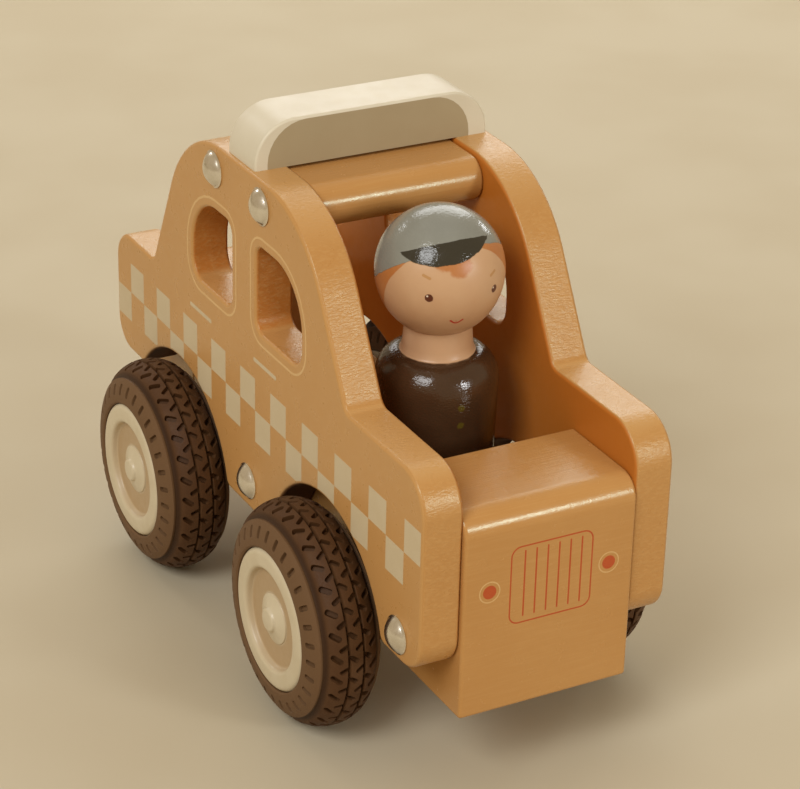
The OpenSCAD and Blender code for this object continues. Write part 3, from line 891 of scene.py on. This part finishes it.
GAZE = -6
EYES = ((GAZE - 32, -3.8), (GAZE + 32, -3.8))
EYE_R = 0.92
GLINTS = ((GAZE - 33.5, -2.2), (GAZE + 30.5, -2.2))
GLINT_R = 0.22
BROWS = ((-1, GAZE - 35, 15), (1, GAZE + 30.5, 11.2))
BROW_R = 0.32
SMILE_AT, SMILE_TOP, SMILE_DROP = GAZE - 5.5, -28.3, 3.6
SMILE_R = 0.28
NOTCH = ((GAZE - 5.8, -29.2), (GAZE - 5.6, -30.2), (GAZE - 5.4, -31.2))
NOTCH_R = 0.18
BUTTONS = (27.4, 23.1)
BUTTON_X = -1.3


def figure_section():
    """Section of the turned figure, from its foot to its crown."""
    head = FIGURE_TOP / MM - FLOOR_TOP / MM - HEAD_R
    foot = rounded([(0, 0, 0), (FOOT_R, 0, FOOT_ROUND), (WAIST_R, SHOULDER_FOOT, 0)])
    path = [(p.x, p.y) for p in foot]
    for angle in range(10, 90, 10):
        turn = math.radians(angle)
        out = SHOULDER_OUT * math.cos(turn)
        up = SHOULDER_UP * math.sin(turn)
        path.append((COLLAR_R + out, SHOULDER_FOOT + up))
    path += [(COLLAR_R, COLLAR), (COLLAR_R - 0.35, COLLAR + 0.6), (COLLAR_R - 0.7, COLLAR + 2)]
    path.append((NECK_R, NECK_TOP))
    for angle in range(CHIN_ANGLE, 91, 3):
        height = HEAD_R * math.sin(math.radians(angle))
        if angle < 0:
            height *= CHIN
        path.append((HEAD_R * math.cos(math.radians(angle)), head + height))
    return [(max(r, 0) * MM, h * MM) for r, h in path]


def aim(azimuth, elevation):
    """A direction, turned from the front to the left and raised."""
    turn, rise = math.radians(azimuth), math.radians(elevation)
    return (math.sin(turn) * math.cos(rise), -math.cos(turn) * math.cos(rise), math.sin(rise))


def figure_paint():
    """Hand-painted figure: matt skin and hair, and a gloss cap, visor and coat."""
    paint = Finish("figure_paint", Specular_IOR_Level=0.5)
    head = Vector((FIGURE.x, FIGURE.y, FIGURE_TOP - HEAD_R * MM))
    wobble = paint.math("SUBTRACT", paint.noise(2.6, detail=3), 0.5)
    fine = paint.math("SUBTRACT", paint.noise(0.7, detail=2), 0.5)
    out = paint.vector("NORMALIZE", paint.vector("SUBTRACT", paint.place, head))
    level = paint.axes(paint.place)["Z"]

    def cone(azimuth, elevation, angle, shake=0.05, soft=0.006):
        """1 within an angle of a direction from the head's middle, with a hand-painted edge."""
        near = paint.vector("DOT_PRODUCT", out, aim(azimuth, elevation), out=1)
        near = paint.math("ADD", near, paint.math("MULTIPLY", wobble, shake))
        edge = math.cos(math.radians(angle))
        return paint.ramp(near, edge - soft, edge + soft)

    def dot(point, inner, outer, shake):
        """1 within one distance in mm of a point and 0 past another, with a shaky edge."""
        gap = paint.vector("DISTANCE", paint.place, point, out=1)
        gap = paint.math("ADD", gap, paint.math("MULTIPLY", fine, shake * MM))
        return paint.ramp(gap, inner * MM, outer * MM, 1, 0)

    def marks(places, radius, soft=0.06, shake=0.1):
        """Round dabs of the brush on the head, or a stroke where they run together."""
        points = [head + Vector(aim(*place)) * HEAD_R * MM for place in places]
        return paint.either(*[dot(point, radius - soft, radius + soft, shake) for point in points])

    cap = cone(*CAP)
    visor = paint.both(paint.opposite(cone(*VISOR_EDGE)), cone(*VISOR_BRIM))
    fringe = paint.either(*[cone(*lock, shake=0.03) for lock in FRINGE])
    face = paint.both(cone(*FACE), paint.opposite(fringe))
    eyes = marks(EYES, EYE_R, 0.12, 0.25)
    glints = marks(GLINTS, GLINT_R, 0.08, 0)
    brows = marks([(azimuth + way * k, elevation + 0.4 * k)
                   for way, azimuth, elevation in BROWS for k in range(-3, 4)], BROW_R)
    smile = marks([(SMILE_AT + 0.75 * k, SMILE_TOP - SMILE_DROP * math.sin(math.pi * (k + 8) / 16))
                   for k in range(-8, 9)], SMILE_R)
    mouth = paint.either(smile, marks(NOTCH, NOTCH_R))
    height = paint.math("ADD", level, paint.math("MULTIPLY", wobble, 0.3 * MM))
    above_coat = paint.math("SUBTRACT", height, FLOOR_TOP + (COLLAR + 0.1) * MM)
    coated = paint.ramp(above_coat, -0.15 * MM, 0.15 * MM, 1, 0)
    neck_end = FLOOR_TOP + (NECK_TOP - 0.1) * MM
    below_head = paint.ramp(level, neck_end, neck_end + MM, 1, 0)
    buttons = []
    for up in BUTTONS:
        point = Vector((FIGURE.x + BUTTON_X * MM, FIGURE.y - WAIST_R * MM, FLOOR_TOP + up * MM))
        buttons.append(dot(point, 0.65, 1.0, 0.6))
    buttons = paint.both(coated, paint.either(*buttons))
    mottle = paint.ramp(paint.noise(9, detail=3), 0.3, 0.7)
    skin = paint.blend(mottle, *SKINS)
    tone = paint.blend(face, paint.blend(mottle, *HAIRS), skin)
    for mask, colour in ((brows, BROW_BROWN), (eyes, EYE_BROWN), (glints, GLINT_WHITE), (mouth, MOUTH_RED),
                         (cap, paint.blend(mottle, *CAP_GREYS)), (visor, VISOR_BLACK), (below_head, skin),
                         (coated, paint.blend(mottle, *COAT_BROWNS)), (buttons, BUTTON_GREEN)):
        tone = paint.blend(mask, tone, colour)
    paint.colour(tone)
    gloss = paint.either(cap, visor, coated)
    rough = paint.ramp(paint.noise(2.4, detail=4), 0.3, 0.7, 0.1, 0.2)
    paint.roughness(paint.math("ADD", rough, paint.both(paint.opposite(gloss), 0.25)))
    brush = paint.noise(0.4, detail=2, stretch=(2, 2, 1))
    paint.bump(paint.both(brush, gloss), 0.11, 0.7)
    paint.bump(paint.noise(0.8, detail=2), 0.03, 0.4)
    paint.bump(paint.either(cap, visor), 0.08, 0.6)
    return paint.material


def driver():
    origin = Vector((FIGURE.x, FIGURE.y, FLOOR_TOP))
    figure = turned("driver_figure_painted", figure_section(), origin, Z, FINE_STEPS)
    smoothed(figure, 60)
    fitted(figure, "driver", "figure_paint", figure_paint(), "driver_figure")


# Printed ink: films with their places and sizes in mm

INK = 0.02
TO_SIDE = Matrix(((0, 0, 1, 0), (1, 0, 0, 0), (0, 1, 0, 0), (0, 0, 0, 1)))
CHECK = 8.07
CHECK_MIDDLE = 59.4
CHECK_INSET = 0.03
WINDOW_LINE = 2.8
WINDOW_LINE_W = 0.55
HANDLES = {"front": (-5.55, 72.3, 11.9), "rear": (29.6, 71.7, 12.2)}
HANDLE_H = 1.0
HANDLE_ROUND = 0.4
GRILLE_X, GRILLE_Z = 0.35, 50.35
GRILLE_W, GRILLE_H = 20.3, 18.9
GRILLE_ROUND = 2.4
GRILLE_LINE = 0.32
BARS = 6
FIRST_BAR_X = -6.3
BAR_PITCH = 2.8
BAR_Z = 50.55
BAR_W, BAR_H = 0.36, 16.1
BAR_ROUND = 0.12
LAMP_X = 14.7
LAMP_Z = 50.4
LAMP_DOT = 3.2
LAMP_RING = 5.2
LAMP_LINE = 0.3
SIGN_PRINT_X = -0.8
SIGN_PRINT_W = 51
SIGN_PRINT_ROUND = 9.5


def ink_shape(name, centre, width, height, radii, line=0.0):
    """A film of ink in the YZ plane on the left side: a rounded rectangle, or its outline.
    The radii are those of its corners from low front round to high front."""
    rest()
    bpy.ops.mesh.primitive_plane_add(size=1)
    film = bpy.context.object
    film.name = name
    work_on(film)
    bpy.ops.transform.resize(value=(width * MM, height * MM, 1))
    for (across, up), radius in zip(((-1, -1), (1, -1), (1, 1), (-1, 1)), radii):
        if radius == 0:
            continue
        corner = Vector((across * width, up * height, 0)) * MM / 2
        pick(film, "VERT", lambda vertex: (vertex.co - corner).length < 0.01 * MM)
        bpy.ops.mesh.bevel(offset=radius * MM, segments=8, affect="VERTICES")
    bpy.ops.mesh.select_mode(type="FACE")
    bpy.ops.mesh.select_all(action="SELECT")
    if line:
        bpy.ops.mesh.inset(thickness=line * MM)
        bpy.ops.mesh.delete(type="FACE")
        bpy.ops.mesh.select_all(action="SELECT")
    bpy.ops.mesh.extrude_region_move(TRANSFORM_OT_translate={"value": Z * INK * MM})
    closed(film)
    film.data.transform(centre @ TO_SIDE)
    return film


def on_panel(along, up):
    """Puts a film on the left panel's outer face."""
    return Matrix.Translation((OUTER_X, along * MM, up * MM))


def on_front(across, up):
    """Puts a film on the bonnet block's front."""
    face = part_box("bonnet_block")[0].y
    return Matrix.Translation((across * MM, face, up * MM)) @ Matrix.Rotation(-math.pi / 2, 4, "Z")


def checks():
    """Two rows of checks along the left panel, cut off where the panel ends or an arch begins."""
    start = PANEL_LOW.y / MM
    columns = math.ceil((PANEL_HIGH.y - PANEL_LOW.y) / (CHECK * MM))
    rest()
    bpy.ops.mesh.primitive_grid_add(x_subdivisions=columns, y_subdivisions=2, size=1)
    film = bpy.context.object
    work_on(film)
    bpy.ops.transform.resize(value=(columns * CHECK * MM, 2 * CHECK * MM, 1))

    def bare(face):
        place = face.calc_center_median() / (CHECK * MM)
        column = math.floor(place.x + columns / 2)
        return (column % 2 == 0) != (place.y > 0)

    pick(film, "FACE", bare)
    bpy.ops.mesh.delete(type="FACE")
    bpy.ops.mesh.select_all(action="SELECT")
    bpy.ops.mesh.inset(thickness=CHECK_INSET * MM, use_individual=True)
    bpy.ops.mesh.select_all(action="INVERT")
    bpy.ops.mesh.delete(type="FACE")
    middle_y = start + columns * CHECK / 2
    for way, end in ((-1, PANEL_LOW.y / MM + PANEL_EDGE), (1, PANEL_HIGH.y / MM - PANEL_EDGE)):
        bpy.ops.mesh.select_all(action="SELECT")
        bpy.ops.mesh.bisect(plane_co=X * (end - middle_y) * MM, plane_no=X * way, clear_outer=True)
    bpy.ops.mesh.select_all(action="SELECT")
    bpy.ops.mesh.extrude_region_move(TRANSFORM_OT_translate={"value": Z * INK * MM})
    closed(film)
    film.data.transform(on_panel(middle_y, CHECK_MIDDLE) @ TO_SIDE)
    for axle in (FRONT_AXLE, REAR_AXLE):
        rest()
        bpy.ops.mesh.primitive_cylinder_add(
            vertices=256, radius=(ARCH_R + PANEL_EDGE) * MM, depth=10 * MM,
            location=(OUTER_X, axle.y, axle.z), rotation=(0, math.pi / 2, 0))
        arch = bpy.context.object
        shaped(film, "BOOLEAN", operation="DIFFERENCE", solver="EXACT", object=arch)
        bpy.data.objects.remove(arch)
    return film


def side_prints():
    """Checks, window lines and door handles of the left side, and their mirror images."""
    pale = ink("pale_ink", *PALE_INKS)
    fine = ink("fine_ink", *FINE_INKS)
    windows = []
    for name, (along, up, width, height) in WINDOWS.items():
        radii = [radius + WINDOW_LINE for radius in WINDOW_CORNERS[name]]
        windows.append(ink_shape(name + "_window_line", on_panel(along, up), width + 2 * WINDOW_LINE,
                                 height + 2 * WINDOW_LINE, radii, WINDOW_LINE_W))
    handles = [ink_shape(name + "_handle", on_panel(along, up), width, HANDLE_H, (HANDLE_ROUND,) * 4)
               for name, (along, up, width) in HANDLES.items()]
    prints = (("checks", checks(), pale), ("window_lines", joined("window_lines", windows), fine),
              ("door_handles", joined("door_handles", handles), pale))
    for name, film, material in prints:
        fitted(copied(film, "right_" + name, Matrix.Scale(-1, 4, X)), BODY, "pale_print", material)
        fitted(copied(film, "left_" + name, Matrix.Identity(4)), BODY, "pale_print", material)
        bpy.data.objects.remove(film)


def lamp_shapes(name, across, line=0.0):
    """A round film on each lamp's place, whole or as a ring."""
    round_off = (across / 2 - 0.005,) * 4
    return [ink_shape(name, on_front(way * LAMP_X, LAMP_Z), across, across, round_off, line)
            for way in (-1, 1)]


def front_prints():
    rust = ink("rust_ink", *RUST_INKS)
    pale = ink("lamp_ring_ink", *RING_INKS)
    grille = [ink_shape("grille_frame", on_front(GRILLE_X, GRILLE_Z), GRILLE_W, GRILLE_H,
                        (GRILLE_ROUND,) * 4, GRILLE_LINE)]
    for bar in range(BARS):
        place = on_front(FIRST_BAR_X + BAR_PITCH * bar, BAR_Z)
        grille.append(ink_shape("grille_bar", place, BAR_W, BAR_H, (BAR_ROUND,) * 4))
    fitted(joined("grille_print", grille), BODY, "rust_print", rust)
    fitted(joined("lamp_dots", lamp_shapes("lamp_dot", LAMP_DOT)), BODY, "rust_print", rust)
    fitted(joined("lamp_rings", lamp_shapes("lamp_ring", LAMP_RING, LAMP_LINE)), BODY, "pale_print", pale)


def sign_prints():
    tan = ink("tan_ink", *TAN_INKS)
    low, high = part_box("roof_sign")
    up = (high.z - low.z) / MM - SIGN_EDGE
    middle_z = low.z + up / 2 * MM
    radii = (0, 0, SIGN_PRINT_ROUND, SIGN_PRINT_ROUND)
    for name, face, way in (("front_sign_print", low.y, -1), ("rear_sign_print", high.y, 1)):
        turn = Matrix.Rotation(way * math.pi / 2, 4, "Z")
        place = Matrix.Translation((SIGN_PRINT_X * MM, face, middle_z)) @ turn
        fitted(ink_shape(name, place, SIGN_PRINT_W, up, radii), BODY, "tan_print", tan)


# Stage, lights and camera, in metres

FLOOR_SIZE = 6
ROOM_LIGHT = 0.48
LAMPS_AIM = Vector((0, 0, 0.06))

# Softboxes: name, azimuth from the front to the left, elevation, distance, width, height and power

SOFTBOXES = (
    ("overhead", 160, 78, 1.1, 0.9, 0.9, 0.5),
    ("right_box", -58, 42, 1.6, 0.67, 0.67, 12.8),
    ("front_left_box", 24.5, 18, 1.0, 0.18, 0.18, 2.5),
    ("back_box", 150, 32, 1.1, 0.9, 0.6, 4.8),
    ("back_right_box", -163, 27, 1.1, 0.14, 0.14, 0.7),
    ("left_box", 113, 17, 1.1, 0.12, 0.12, 0.6),
)
LENS = 121.65
SENSOR = 36
VIEW_FROM = Vector((-0.26705, -0.50295, 0.34004))
VIEW_RIGHT = Vector((0.8827, -0.4694, 0.0222))
VIEW_AHEAD = Vector((0.4291, 0.7859, -0.4452))


def stage():
    rest()
    bpy.ops.mesh.primitive_plane_add(size=FLOOR_SIZE)
    floor = bpy.context.object
    floor.name = "floor"
    cloth = Finish("pale_floor", Specular_IOR_Level=0.2, Roughness=0.9)
    cloth.colour(cloth.blend(cloth.ramp(cloth.noise(60, detail=2), 0.3, 0.7), *FLOOR_TONES))
    floor.data.materials.append(cloth.material)
    world = bpy.data.worlds.new("studio")
    bpy.context.scene.world = world
    world.use_nodes = True
    back = world.node_tree.nodes["Background"]
    back.inputs["Color"].default_value = ROOM_WARMTH
    back.inputs["Strength"].default_value = ROOM_LIGHT


def soft_light(name, azimuth, elevation, distance, width, height, power):
    """A softbox that looks at the cabin and that the camera doesn't see."""
    place = LAMPS_AIM + Vector(aim(azimuth, elevation)) * distance
    lamp = bpy.data.lights.new(name, "AREA")
    lamp.shape = "RECTANGLE"
    lamp.size = width
    lamp.size_y = height
    lamp.energy = power
    lamp.color = LAMP_WHITE
    holder = bpy.data.objects.new(name, lamp)
    bpy.context.scene.collection.objects.link(holder)
    holder.location = place
    holder.rotation_euler = (LAMPS_AIM - place).to_track_quat("-Z", "Y").to_euler()
    holder.visible_camera = False


def camera():
    lens = bpy.data.cameras.new("camera")
    lens.lens = LENS
    lens.sensor_width = SENSOR
    view = bpy.data.objects.new("camera", lens)
    bpy.context.scene.collection.objects.link(view)
    right = VIEW_RIGHT.normalized()
    ahead = (VIEW_AHEAD - right * VIEW_AHEAD.dot(right)).normalized()
    turn = Matrix((right, right.cross(ahead), -ahead)).transposed().to_4x4()
    view.matrix_world = Matrix.Translation(VIEW_FROM) @ turn
    bpy.context.scene.camera = view


woodwork()
wheels()
nails()
driver()
side_prints()
front_prints()
sign_prints()
stage()
for softbox in SOFTBOXES:
    soft_light(*softbox)
camera()
bpy.context.scene.view_settings.view_transform = "Standard"
